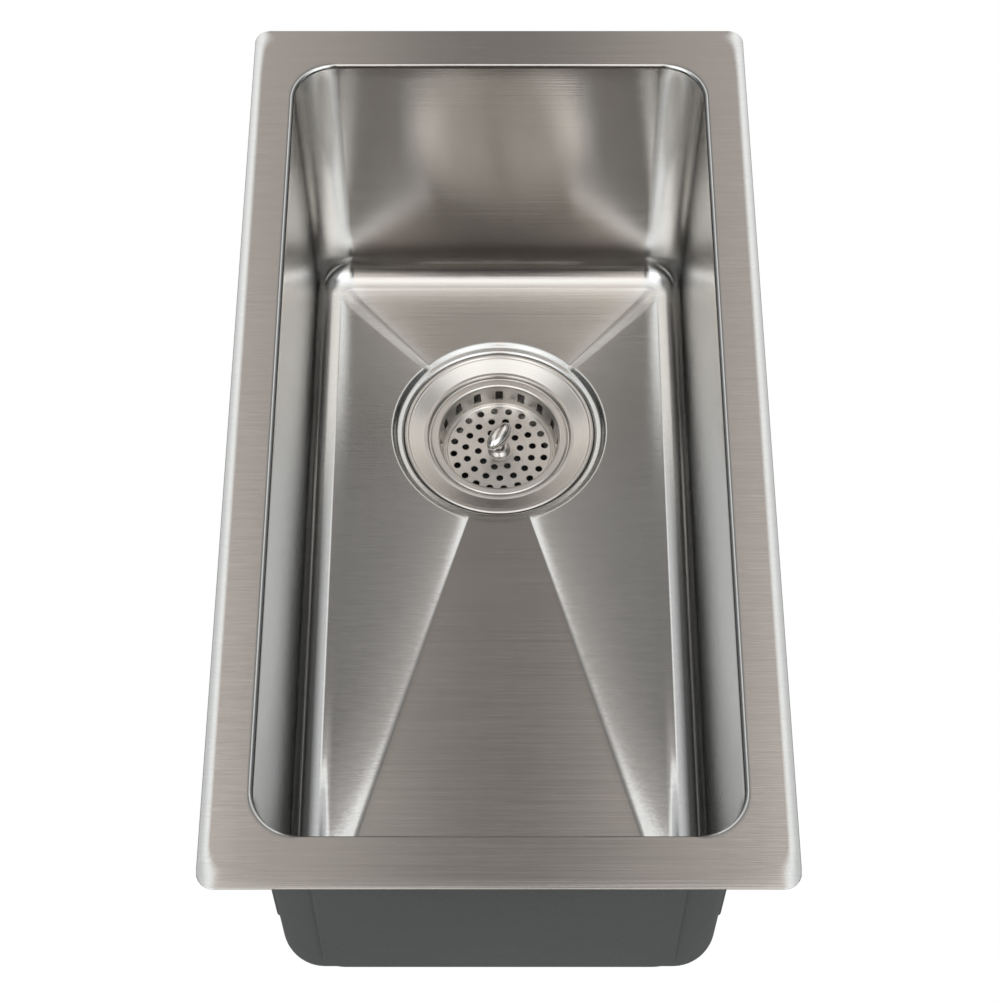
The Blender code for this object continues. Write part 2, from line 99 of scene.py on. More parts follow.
def signed_volume(mesh):
    """The volume inside a closed mesh: positive where its faces point outwards."""
    mesh.calc_loop_triangles()
    corners = np.empty(3 * len(mesh.loop_triangles), int)
    mesh.loop_triangles.foreach_get("vertices", corners)
    places = np.empty(3 * len(mesh.vertices))
    mesh.vertices.foreach_get("co", places)
    a, b, c = places.reshape(-1, 3)[corners.reshape(-1, 3)].transpose(1, 0, 2)
    return float(np.einsum("ij,ij->i", a, np.cross(b, c)).sum() / 6)


def add_piece(node, points, quads, body, slot, finishes, triangles=(), sharp=None):
    """A smooth piece whose faces point outwards, which replaces a node and rides on its body."""
    name = node + "_fine"
    mesh = bpy.data.meshes.new(name)
    faces = [*quads.tolist(), *np.asarray(triangles, int).reshape(-1, 3).tolist()]
    mesh.from_pydata(points.tolist(), [], faces)
    mesh.update()
    if signed_volume(mesh) < 0:
        mesh.flip_normals()
    mesh.shade_smooth()
    if sharp is not None:
        mesh.set_sharp_from_angle(angle=math.radians(sharp))
    for finish in finishes:
        mesh.materials.append(finish)
    piece = bpy.data.objects.new(name, mesh)
    bpy.context.scene.collection.objects.link(piece)
    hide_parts(node)
    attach(piece, body)
    return piece


def grid_faces(rows, columns, wrap_rows=False):
    """Quads between neighbouring rows of points, each row closed on itself."""
    row = np.arange(rows if wrap_rows else rows - 1)[:, None]
    column = np.arange(columns)[None, :]
    below, beside = (row + 1) % rows, (column + 1) % columns
    corners = (
        row * columns + column,
        row * columns + beside,
        below * columns + beside,
        below * columns + column,
    )
    return np.stack(corners, axis=-1).reshape(-1, 4)


def closed_loft(grid):
    """Points, quads and triangles of a grid of rings, its end rings closed by fans."""
    rows, columns = grid.shape[:2]
    middles = grid[[0, -1]].mean(axis=1)
    around = np.arange(columns)
    after = (around + 1) % columns
    last = (rows - 1) * columns
    first_fan = np.stack([np.full(columns, rows * columns), after, around], axis=-1)
    last_fan = np.stack([first_fan[:, 0] + 1, last + around, last + after], axis=-1)
    points = np.vstack([grid.reshape(-1, 3), middles])
    return points, grid_faces(rows, columns), np.vstack([first_fan, last_fan])


def full_turn(count):
    """Evenly spaced angles of one turn, a = 2 pi i / count."""
    return 2 * np.pi * np.arange(count) / count


def rounded_profile(corners, radius, steps=4, closed=True):
    """A profile whose corners are arcs: at each corner the arc touches both sides at equal lengths.

    A corner that bends by b takes an arc of the radius, but no more than 45% of either side, from
    one touching point to the other, drawn as a quadratic curve towards the corner.
    """
    corners = np.asarray(corners, float)
    count = len(corners)
    points = []
    for i, corner in enumerate(corners):
        if not closed and i in (0, count - 1):
            points.append(corner[None])
            continue
        before, after = corners[i - 1] - corner, corners[(i + 1) % count] - corner
        long_before, long_after = np.linalg.norm(before), np.linalg.norm(after)
        cosine = np.clip(before @ after / (long_before * long_after), -1, 1)
        bend = math.pi - math.acos(cosine)
        reach = min(radius * math.tan(bend / 2), 0.45 * long_before, 0.45 * long_after)
        start, end = corner + before * reach / long_before, corner + after * reach / long_after
        t = np.linspace(0, 1, steps + 1)[:, None]
        points.append((1 - t) ** 2 * start + 2 * t * (1 - t) * corner + t**2 * end)
    return np.vstack(points)


def turned_points(profile, segments, wave=None):
    """A profile of (radius, height) turned about the drain's axis: (r cos a, r sin a, z).

    wave gives a length to add to the radius from the angle, the radius and the height.
    """
    angle = full_turn(segments)
    radius, height = np.asarray(profile, float).T[:, :, None]
    if wave is not None:
        radius = radius + wave(angle[None, :], radius, height)
    x = radius * np.cos(angle) * MM
    y = DRAIN_Y + radius * np.sin(angle) * MM
    z = DECK + height * MM + 0 * x
    return np.stack([x, y, z], axis=-1)


def turned_piece(
    node, profile, body, slot, finish, segments=128, wave=None, solid=False, sharp=40
):
    """A turned piece. solid says that the profile runs from axis to axis and isn't a loop."""
    grid = turned_points(profile, segments, wave)
    if solid:
        points, quads, triangles = closed_loft(grid)
    else:
        points, triangles = grid.reshape(-1, 3), ()
        quads = grid_faces(len(profile), segments, wrap_rows=True)
    return add_piece(node, points, quads, body, slot, [finish], triangles, sharp)


def beside(profile, distance):
    """The profile moved sideways by a distance along its normals, to the right of its direction."""
    profile = np.asarray(profile, float)
    run = np.gradient(profile, axis=0)
    run /= np.linalg.norm(run, axis=1)[:, None]
    return profile + distance * np.stack([run[:, 1], -run[:, 0]], axis=-1)


def spread(low, high, count, ends=1.0):
    """Values from low to high that crowd towards both ends, more so with a larger ends."""
    t = np.linspace(-1, 1, count)
    return low + (high - low) * (np.sign(t) * (1 - (1 - abs(t)) ** ends) + 1) / 2


# ---------------------------------------------------------------- shader sums

class Sum:
    """A number from a shader socket, written into arithmetic that adds Math nodes."""

    def __init__(self, finish, socket):
        self.finish = finish
        self.socket = socket

    def math(self, operation, *others):
        return self.finish.node("ShaderNodeMath", {"operation": operation}, [self, *others])

    def __add__(self, other):
        return self.math("ADD", other)

    def __sub__(self, other):
        return self.math("SUBTRACT", other)

    def __mul__(self, other):
        return self.math("MULTIPLY", other)

    def __pow__(self, other):
        return self.math("POWER", other)

    __radd__ = __add__
    __rmul__ = __mul__

    def __rsub__(self, other):
        return self.finish.node("ShaderNodeMath", {"operation": "SUBTRACT"}, [other, self])

    def size(self):
        return self.math("ABSOLUTE")

    def clipped(self):
        return self.finish.node("ShaderNodeClamp", {}, [self, 0.0, 1.0])

    def ramp(self, low, high, start=0.0, end=1.0):
        """Goes smoothly from start to end as the number goes from low to high."""
        settings = {"interpolation_type": "SMOOTHSTEP"}
        return self.finish.node("ShaderNodeMapRange", settings, [self, low, high, start, end])


class Finish:
    """A node tree of a material or of the world, built by one method."""

    def __init__(self, tree):
        self.tree = tree
        tree.nodes.clear()

    def node(self, kind, settings, values, output=0):
        """Adds a node: its settings, then the values or links of its sockets, by place or name."""
        made = self.tree.nodes.new(kind)
        for key, value in settings.items():
            setattr(made, key, value)
        pairs = values.items() if isinstance(values, dict) else enumerate(values)
        for key, value in pairs:
            socket = made.inputs[key]
            if isinstance(value, Sum):
                self.tree.links.new(value.socket, socket)
            else:
                socket.default_value = value
        return Sum(self, made.outputs[output]) if made.outputs else None

    def place(self, scale=(1, 1, 1), centre=(0, 0, 0)):
        """Object coordinates, less a centre, times a scale."""
        here = self.node("ShaderNodeTexCoord", {}, {}, "Object")
        moved = self.node("ShaderNodeVectorMath", {"operation": "SUBTRACT"}, [here, centre])
        return self.node("ShaderNodeVectorMath", {"operation": "MULTIPLY"}, [moved, scale])

    def axes(self, vector):
        """The x, y and z of a vector."""
        split = self.node("ShaderNodeSeparateXYZ", {}, [vector])
        return [Sum(self, socket) for socket in split.socket.node.outputs]

    def joined(self, x, y, z):
        return self.node("ShaderNodeCombineXYZ", {}, [x, y, z])

    def noise(self, vector, detail, scale=1.0):
        """Noise about 0, mostly within -0.5 to 0.5."""
        values = {"Vector": vector, "Scale": scale, "Detail": detail}
        return self.node("ShaderNodeTexNoise", {}, values, "Fac") - 0.5

    def mix(self, share, first, second):
        """A colour between two colours, or links to them."""
        settings = {"data_type": "RGBA"}
        first, second = (c if isinstance(c, Sum) else (*c, 1.0) for c in (first, second))
        return self.node("ShaderNodeMix", settings, {0: share, 6: first, 7: second}, 2)

    def tinted(self, colour, strength):
        """A colour times a number."""
        grey = self.joined(strength, strength, strength)
        tint = colour if isinstance(colour, Sum) else tuple(colour)
        return self.node("ShaderNodeVectorMath", {"operation": "MULTIPLY"}, [grey, tint])

    def bump(self, height, distance, strength):
        values = {"Height": height, "Distance": distance, "Strength": strength}
        return self.node("ShaderNodeBump", {}, values)


def surface(name, values, build):
    """A material with a Principled surface. build gives further sockets from the finish."""
    material = bpy.data.materials.new(name)
    material.use_nodes = True
    finish = Finish(material.node_tree)
    values = {**values, **build(finish)}
    shader = finish.node("ShaderNodeBsdfPrincipled", {}, values)
    finish.node("ShaderNodeOutputMaterial", {}, {"Surface": shader})
    return material


# ---------------------------------------------------------------- finishes

STEEL = (0.585, 0.555, 0.525)
# A cooler steel colour for faces that lean sideways: a painted reflection tint, not a real change in
# the steel
PAINTED_SIDE_REFLECTION_STEEL = (0.565, 0.562, 0.555)
STRAINER_STEEL = (0.68, 0.65, 0.615)


def bowl_steel():
    """Satin steel brushed across the width: the grain runs along X, and up the side walls. Faces
    that lean sideways get a cooler colour, a painted reflection of cool light.
    """

    def build(f):
        normal = f.node("ShaderNodeTexCoord", {}, {}, "Normal")
        sideways = f.axes(normal)[0].size()
        # leaning picks out faces that lean sideways, which take the cooler colour as a painted
        # reflection tint
        leaning, side = sideways.ramp(0.006, 0.02), sideways.ramp(0.55, 0.85)
        across = f.noise(f.place((9, 1500, 1500)), detail=3)
        upwards = f.noise(f.place((9, 1500, 12)), detail=3)
        fine = across * (1 - side) + upwards * side
        streaks_across = f.noise(f.place((3, 260, 260)), detail=2) * (1 - side)
        streaks = streaks_across + f.noise(f.place((3, 260, 4)), detail=2) * side
        clouds = f.noise(f.place((14, 14, 14)), detail=3)
        shade = 1 + fine * 0.16 + streaks * 0.05 + clouds * 0.05
        return {
            # The base colour blends to the painted reflection tint where faces lean sideways
            "Base Color": f.tinted(f.mix(leaning, STEEL, PAINTED_SIDE_REFLECTION_STEEL), shade),
            "Roughness": 0.145 + fine * 0.05 + clouds * 0.03,
            "Normal": f.bump(fine, 0.00005, 1.0),
        }

    return surface("brushed_bowl_steel", {"Metallic": 1.0, "Anisotropic": 1.0}, build)


def undercoat():
    """Grey sprayed coating: faintly mottled, with a fine pebbled surface."""

    def build(f):
        pebbles = f.noise(f.place(), scale=900, detail=2)
        mottle = f.noise(f.place(), scale=120, detail=3)
        drift = f.noise(f.place(), scale=9, detail=2)
        shade = 1 + pebbles * 0.5 + mottle * 0.25 + drift * 0.25
        return {
            "Base Color": f.tinted((0.085, 0.09, 0.089), shade),
            "Roughness": 0.62 + mottle * 0.2,
            "Normal": f.bump(pebbles + mottle * 0.8, 0.0003, 0.6),
        }

    return surface("sprayed_undercoat", {"Metallic": 0.0}, build)


def turned_steel(name, colour, roughness, grain):
    """Satin steel finished on a lathe, with its grain in rings round the drain's axis."""

    def build(f):
        x, y, z = f.axes(f.place((1, 1, 1), (0, DRAIN_Y, DECK)))
        radius = (x * x + y * y) ** 0.5
        rings = f.noise(f.joined(radius * 2600, z * 2600, 0.0), detail=2)
        wide = f.noise(f.joined(radius * 420, z * 420, 0.0), detail=2)
        clouds = f.noise(f.place(), scale=55, detail=2)
        return {
            "Base Color": f.tinted(colour, 1 + rings * 0.2 + wide * 0.1 + clouds * 0.08),
            "Roughness": roughness + rings * 0.1 + clouds * 0.08,
            "Normal": f.bump(rings, 0.00001, grain),
        }

    steady = {"Metallic": 1.0, "Anisotropic": 0.7, "Anisotropic Rotation": 0.25}
    return surface(name, steady, build)


def polished_steel():
    """The knob's brighter steel, with faint marks of handling."""

    def build(f):
        marks = f.noise(f.place(), scale=220, detail=3)
        return {
            "Base Color": f.tinted((0.74, 0.72, 0.70), 1 + marks * 0.1),
            "Roughness": 0.17 + marks * 0.12,
            "Normal": f.bump(marks, 0.00002, 0.3),
        }

    return surface("polished_knob_steel", {"Metallic": 1.0}, build)


def chrome():
    """Bright plate with the faint haze of a drawn tube."""

    def build(f):
        draw = f.noise(f.place((700, 700, 18)), detail=2)
        haze = f.noise(f.place(), scale=40, detail=3)
        return {
            "Base Color": f.tinted((0.77, 0.77, 0.78), 1 + haze * 0.06),
            "Roughness": 0.11 + haze * 0.12 + draw * 0.05,
            "Normal": f.bump(draw, 0.00001, 0.3),
        }

    return surface("bright_chrome", {"Metallic": 1.0}, build)


def cast_zinc():
    """Dull cast metal with a sandy skin and darker hollows."""

    def build(f):
        sand = f.noise(f.place(), scale=1300, detail=3)
        stains = f.noise(f.place(), scale=60, detail=4)
        return {
            "Base Color": f.tinted((0.44, 0.445, 0.45), 1 + sand * 0.3 + stains * 0.3),
            "Roughness": 0.5 + stains * 0.25,
            "Normal": f.bump(sand, 0.0002, 0.5),
        }

    return surface("cast_zinc", {"Metallic": 1.0}, build)


def black_rubber():
    """Moulded rubber with a chalky bloom."""

    def build(f):
        skin = f.noise(f.place(), scale=1500, detail=2)
        bloom = f.noise(f.place(), scale=70, detail=4).ramp(-0.1, 0.3)
        return {
            "Base Color": f.mix(bloom * 0.5, (0.018, 0.018, 0.019), (0.06, 0.06, 0.06)),
            "Roughness": 0.6 + bloom * 0.2,
            "Normal": f.bump(skin, 0.0001, 0.4),
        }

    return surface("moulded_rubber", {"Metallic": 0.0}, build)


def fibre_board():
    """Pressed brown board with short fibres."""

    def build(f):
        fibres = f.noise(f.place((500, 2200, 2200)), detail=3)
        blots = f.noise(f.place(), scale=90, detail=3)
        pale = (fibres + blots + 0.5).clipped()
        return {
            "Base Color": f.mix(pale, (0.20, 0.115, 0.075), (0.40, 0.26, 0.18)),
            "Roughness": 0.85 + blots * 0.1,
            "Normal": f.bump(fibres, 0.0002, 0.5),
        }

    return surface("pressed_fibre", {"Metallic": 0.0}, build)


def set_putty():
    """Set putty, a little oily, with thumbed lumps."""

    def build(f):
        lumps = f.noise(f.place(), scale=300, detail=3)
        return {
            "Base Color": f.tinted((0.50, 0.45, 0.37), 1 + lumps * 0.3),
            "Roughness": 0.6 + lumps * 0.3,
            "Normal": f.bump(lumps, 0.0004, 0.5),
        }

    return surface("set_putty", {"Metallic": 0.0}, build)


# ---------------------------------------------------------------- the bowl

def sheet_columns():
    """Directions from the drain, in radians, mirrored in X = 0 and closer near the bowl's corners.

    On the right they run from -90 to 90 degrees. A step is a quarter of a degree within reach of
    a corner's direction, grows to 1.15 degrees further off, and is then scaled to end at 90.
    """
    corners = (
        (math.atan2(OPENING_HALF_Y - DRAIN_Y, OPENING_HALF_X), math.radians(8)),
        (math.atan2(-RIM_HALF_Y - DRAIN_Y, RIM_HALF_X) + math.radians(1), math.radians(4)),
    )
    close, wide, fade = math.radians(0.25), math.radians(1.15), math.radians(10)
    angle, right = 0.0, [0.0]
    while angle < math.pi:
        away = min(max(0.0, abs(angle - math.pi / 2 - place) - reach) for place, reach in corners)
        angle += close + (wide - close) * min(1.0, away / fade)
        right.append(angle)
    right = np.array(right) * math.pi / angle - math.pi / 2
    return np.concatenate([right, (math.pi - right)[::-1][1:-1]])


COLUMNS = sheet_columns()
AHEAD = np.stack([np.cos(COLUMNS), np.sin(COLUMNS)], axis=-1)


def outline_reach(half_x, half_y, corner):
    """How far the rays from the drain run to a rectangle with round corners.

    A ray meets a side at t = half / |direction|, and where that falls in a corner's square it meets
    the corner's circle, of centre c, at t = c.u + sqrt(corner^2 - |c|^2 + (c.u)^2).
    """
    u, v = AHEAD.T
    with np.errstate(divide="ignore"):
        to_side = np.abs(half_x / u)
        to_end = np.where(v > 0, half_y - DRAIN_Y, -half_y - DRAIN_Y) / v
    reach = np.minimum(to_side, to_end)
    centre_x = np.sign(u) * (half_x - corner)
    centre_y = np.where(v > 0, 1, -1) * (half_y - corner) - DRAIN_Y
    centre = np.stack([centre_x, centre_y], axis=-1)
    along = np.einsum("ij,ij->i", centre, AHEAD)
    inside = corner**2 - np.einsum("ij,ij->i", centre, centre) + along**2
    beyond_x = np.abs(u * reach) > half_x - corner
    beyond_y = np.abs(v * reach + DRAIN_Y) > half_y - corner
    on_circle = along + np.sqrt(np.maximum(inside, 0))
    return np.where(beyond_x & beyond_y & (inside > 0), on_circle, reach)


def ring_at(reach, height):
    """A ring of points a reach out from the drain along the columns, at a height."""
    x, y = AHEAD.T * reach
    return np.stack([x, y + DRAIN_Y, height + 0 * x], axis=-1)


def wall_rows(offset):
    """(inset, height) down the sheet from the flange to the floor's edge, moved along its normals.

    The lip is r sin a in, r (cos a - 1) down, and the wall is straight, with its draft. At its foot
    the sheet bends at a radius that grows from the wall's to the floor's between 45 and 75 degrees,
    and each step of the bend by db goes R db (sin b, -cos b), b being how far the normal has risen.
    """
    lip = np.linspace(0, math.pi / 2 - WALL_DRAFT, 9)
    lip_points = np.stack([LIP_RADIUS * np.sin(lip), LIP_RADIUS * (np.cos(lip) - 1)], axis=-1)
    lip_normals = np.stack([np.sin(lip), np.cos(lip)], axis=-1)
    bend = np.linspace(WALL_DRAFT, math.pi / 2 - FOOT_END, 29)
    foot_normals = np.stack([np.cos(bend), np.sin(bend)], axis=-1)
    middle = (bend[1:] + bend[:-1]) / 2
    share = np.clip((np.degrees(middle) - 45) / 30, 0, 1)
    radius = WALL_FOOT + (FLOOR_FOOT - WALL_FOOT) * share
    steps = (radius * np.diff(bend))[:, None] * np.stack([np.sin(middle), -np.cos(middle)], axis=-1)
    foot_points = np.vstack([[0.0, 0.0], np.cumsum(steps, axis=0)])
    foot_top = -BOWL_DEPTH - foot_points[-1, 1]
    foot_in = lip_points[-1, 0] + math.tan(WALL_DRAFT) * (lip_points[-1, 1] - foot_top)
    foot_points = foot_points + (foot_in, foot_top)
    along = spread(0, 1, 9, 1.6)[1:-1, None]
    wall_points = lip_points[-1] + (foot_points[0] - lip_points[-1]) * along
    wall_normals = np.repeat(foot_normals[:1], len(wall_points), axis=0)
    points = np.vstack([lip_points, wall_points, foot_points])
    normals = np.vstack([lip_normals, wall_normals, foot_normals])
    return points - offset * normals


def wall_ring(inset, height):
    """A ring that lies inside the opening by an inset, at a height."""
    reach = outline_reach(OPENING_HALF_X - inset, OPENING_HALF_Y - inset, OPENING_CORNER - inset)
    return ring_at(reach, height)


def fold_groove(reach, edge):
    """How far the floor dips beside its folds: slope * w * exp(-d / w), d away from the fold.

    The width w grows with the way from the drain, and a front fold's slope is least a third of the
    way along. Each front fold lowers the front panel by half its own dip, so that the panel lies as
    low as the bottom of both.
    """
    dip = 0 * reach
    folds = (
        (-FRONT_FOLD, True),
        (FRONT_FOLD - 180, True),
        (REAR_FOLD, False),
        (180 - REAR_FOLD, False),
    )
    for fold, in_front in folds:
        turn = (np.degrees(COLUMNS) - fold + 180) % 360 - 180
        away = np.abs(np.sin(np.radians(turn))) * reach
        length = edge[np.abs(turn).argmin()] - RECESS_RADIUS
        along = np.clip((reach - RECESS_RADIUS) / length, 0, 1)
        if in_front:
            on_side = np.abs(np.cos(COLUMNS)) > math.cos(math.radians(FRONT_FOLD))
            width = (FOLD_WIDTH + FRONT_WIDENING * along) * MM
            slope = LEAST_SLOPE + SLOPE_GROWTH * (along - LEAST_SLOPE_PLACE) ** 2
            slope = np.minimum(slope, MOST_SLOPE)
            falling = np.where(on_side, np.exp(-away / width), 0.5)
        else:
            width = (FOLD_WIDTH + REAR_WIDENING * along) * MM
            slope = REAR_SLOPE
            falling = np.exp(-away / width)
        dip = dip + slope * width * falling * (np.abs(turn) < 60)
    return dip


def floor_height(reach, edge):
    """The floor's height at a reach out from the drain, edge being the reach of the wall's foot.

    Four flat panels fall to the drain, z = -depth - drop (1 - reach / edge), and dip beside the
    folds, where the dip runs out over a margin next to the walls. The rear panel lies lower by
    rise * (1 - exp(-d / margin)), d being the way to its edge, so it curls up there. The whole
    levels out to DECK round the recess by the smooth step 3 t^2 - 2 t^3.
    """
    panel = -BOWL_DEPTH - FLOOR_DROP * (1 - reach / edge)
    in_front = np.sin(COLUMNS) < -math.sin(math.radians(FRONT_FOLD))
    margin = np.where(in_front, FRONT_MARGIN, SIDE_MARGIN)
    height = panel - fold_groove(reach, edge) * np.clip((edge - reach) / margin, 0, 1)
    at_rear = np.clip((np.sin(COLUMNS) - REAR_FROM) / REAR_BLEND, 0, 1)
    height = height - at_rear * REAR_MARGIN_RISE * (1 - np.exp((reach - edge) / REAR_MARGIN))
    near = np.clip(1 - (reach - RECESS_RADIUS) / RECESS_SHOULDER, 0, 1)
    level = near * near * (3 - 2 * near)
    return height * (1 - level) + DECK * level


def recess_rows():
    """(radius, height above DECK) of the drain's recess, down its shoulder to the hole."""
    seat, depth, hole, dish = 54.0, 2.8, 45.0, 0.36
    corners = [
        (RECESS_RADIUS / MM, 0.0),
        (58.9, -0.22),
        (57.9, -0.75),
        (57.45, -1.3),
        (57.3, -depth),
        (seat, -depth),
        (hole, -depth - dish * (seat - hole)),
    ]
    return rounded_profile(corners, 0.6, steps=4, closed=False)[1:]


def make_bowl(steel, coat):
    """Flange, walls, floor and recess as one closed sheet, steel above and coated below."""
    opening = outline_reach(OPENING_HALF_X, OPENING_HALF_Y, OPENING_CORNER)
    upper = []
    for a in np.linspace(0, math.pi / 2, 5):
        inset = RIM_EDGE * (1 - math.cos(a))
        rim = outline_reach(RIM_HALF_X - inset, RIM_HALF_Y - inset, RIM_CORNER - inset)
        upper.append(ring_at(rim, RIM_EDGE * (math.sin(a) - 1)))
    flange = opening - rim
    upper += [ring_at(rim + flange * share, 0.0) for share in (0.25, 0.5, 0.75, 0.95)]
    upper += [wall_ring(inset, height) for inset, height in wall_rows(0)]
    edge = np.linalg.norm(upper[-1][:, :2] - (0, DRAIN_Y), axis=1)
    shoulder = RECESS_RADIUS + RECESS_SHOULDER
    reaches = [edge + (shoulder - edge) * share for share in spread(0, 1, 30, 1.7)[1:]]
    for share in np.linspace(1, 0, 9)[1:]:
        reaches.append(RECESS_RADIUS + RECESS_SHOULDER * share + 0 * edge)
    floor = [ring_at(reach, floor_height(reach, edge)) for reach in reaches]
    recess = [ring_at(radius * MM, DECK + height * MM) for radius, height in recess_rows()]
    upper += floor + recess
    lower = [ring_at(rim + flange * share, -SHEET) for share in (0.0, 0.4, 0.8)]
    lower += [wall_ring(inset, height) for inset, height in wall_rows(SHEET)[::2]]
    lower += [ring - (0, 0, SHEET) for ring in floor[::3]]
    under_recess = beside(np.vstack([[RECESS_RADIUS / MM, 0.0], recess_rows()]), -SHEET / MM)[1:]
    lower += [ring_at(radius * MM, DECK + height * MM) for radius, height in under_recess]
    grid = np.stack(upper + lower[::-1])
    count, columns = grid.shape[:2]
    points, quads = grid.reshape(-1, 3), grid_faces(count, columns, wrap_rows=True)
    bowl = add_piece("sink_bowl", points, quads, "sink", "bowl_steel", [steel, coat])
    # The coat covers the underside from the hole to the flange, whose last rows of faces stay bare
    bare_flange_rows = 6
    row = np.arange(count).repeat(columns)
    coated = (row >= len(upper) - 1) & (row < count - bare_flange_rows)
    bowl.data.polygons.foreach_set("material_index", coated.astype(int))
    # The default tangent of a surface turns about the middle of its texture space. Far out along
    # -X that middle makes it run along Y all over the bowl, square to the grain.
    bowl.data.use_auto_texspace = False
    bowl.data.texspace_location = (-100, 0, 0)
    bowl.data.texspace_size = (1, 1, 1)


# ---------------------------------------------------------------- the sound pads

def make_wall_pad(node, axis, coat):
    """A pad on a wall: an outline with round corners, whose edge rolls over to a flat face.

    The outline shrinks by e (1 - cos a) as it rises by t sin a, with e the edge's roll, and the
    whole leans with the wall.
    """
    low, high = (np.array(corner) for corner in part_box(node))
    across = 1 - axis
    middle, half = (low + high) / 2, (high - low) / 2
    outwards = math.copysign(1, middle[axis])
    angle = full_turn(96) + NUDGE
    circle = np.stack([np.cos(angle), np.sin(angle)], axis=-1)
    corners = np.sign(circle) * (half[[across, 2]] - PAD_CORNER)
    faces_out = high[axis] if outwards > 0 else -low[axis]
    base = faces_out - PAD_THICK
    rings = []
    for a in np.linspace(0, math.pi / 2, 6):
        inset, rise = PAD_ROLL * (1 - math.cos(a)), PAD_THICK * math.sin(a)
        outline = corners + circle * (PAD_CORNER - inset)
        points = np.empty((len(angle), 3))
        points[:, across] = middle[across] + outline[:, 0]
        points[:, 2] = middle[2] + outline[:, 1]
        lean = (high[2] - points[:, 2]) * math.tan(WALL_DRAFT)
        points[:, axis] = outwards * (base + rise - lean)
        rings.append(points)
    points, quads, triangles = closed_loft(np.stack(rings))
    add_piece(node, points, quads, "sink", "coated_pad", [coat], triangles, sharp=60)


def make_pads(coat):
    """The pads on the four walls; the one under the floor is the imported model's own."""
    for wall, axis in (("front", 1), ("back", 1), ("left", 0), ("right", 0)):
        make_wall_pad("sound_pad_" + wall, axis, coat)


# ---------------------------------------------------------------- the drain

def thread(low, high, bore, pitch, depth):
    """A screw thread on the wall outside a bore: its depth times a triangle wave of the turns.

    The turns are height / pitch + angle / 360 degrees, so the ridge climbs a pitch each turn.
    """

    def wave(angle, radius, height):
        turns = height / pitch + angle / (2 * np.pi)
        tooth = np.abs(turns % 1 * 2 - 1)
        return -depth * tooth * ((height > low) & (height < high) & (radius > bore))

    return wave


def lobes(wall, count, rise, sharpness):
    """Lobes on the wall at a radius: rise times (1 + sharpness cos(count a)) / 2, within 0..1."""

    def wave(angle, radius, height):
        bulge = np.clip(0.5 + 0.5 * sharpness * np.cos(count * angle), 0, 1)
        return rise * bulge * (np.abs(radius - wall) < 0.75)

    return wave


def make_strainer(steel):
    """Dished flange with a rolled edge and a bead, cup, and an outlet with its thread."""
    inside = [
        (57.15, -1.2),
        (56.9, -0.5),
        (56.0, -0.3),
        (55.0, -0.42),
        (54.5, -0.85),
        (53.6, -0.95),
        (45.4, -4.05),
        (44.6, -3.95),
        (43.5, -3.85),
        (42.7, -4.7),
        (42.5, -6.5),
        (39.5, -6.5),
        (38.8, -7.3),
        (38.8, -26.5),
        (37.6, -29.4),
        (34.8, -31.0),
        (31.5, -31.4),
        (24.0, -35.7),
        (20.6, -37.3),
        (19.6, -38.8),
        (19.6, -62.0),
    ]
    thread_rows = [(23.6, z) for z in np.linspace(-61.0, -43.0, 66)]
    outside = [
        (23.2, -62.0),
        *thread_rows,
        (22.4, -42.0),
        (22.4, -39.4),
        (25.2, -37.0),
        (32.3, -32.9),
        (36.4, -32.2),
        (39.9, -29.9),
        (41.4, -26.8),
        (41.4, -8.0),
        (44.1, -7.6),
        (44.1, -5.5),
        (45.2, -4.8),
        (54.0, -1.65),
        (56.9, -1.6),
    ]
    smooth_in = rounded_profile(inside, 0.45, steps=4, closed=False)
    smooth_out = rounded_profile(outside, 0.2, steps=2, closed=False)
    profile = np.vstack([smooth_in, smooth_out])

    turned_piece(
        "strainer_body",
        profile,
        "sink",
        "strainer_steel",
        steel,
        160,
        thread(-61.2, -43.5, 23.0, 2.2, 0.9),
        sharp=55,
    )


def make_basket_cup(steel):
    """The basket: a bead round its rim, a leaning wall with slots, and a perforated floor."""
    upper = rounded_profile(
        [
            (41.4, -6.05),
            (41.1, -5.5),
            (40.4, -5.25),
            (37.4, -5.25),
            (36.5, -5.6),
            (36.1, -6.8),
            (34.2, -18.6),
            (33.6, -20.1),
            (33.0, -20.1),
            (32.6, -19.55),
            (31.9, -19.6),
            (31.3, -20.15),
            (2.9, -20.2),
        ],
        0.5,
        steps=4,
        closed=False,
    )
    lower = beside(upper, -0.8)
    lower[0] = (41.4, -6.25)
    lower[-1] = (2.9, -21.0)
    profile = np.vstack([upper, lower[::-1]])
    cup = turned_piece("basket_cup", profile, "basket", "strainer_steel", steel, 144)
    cut_away(cup, basket_cutters(), 38)


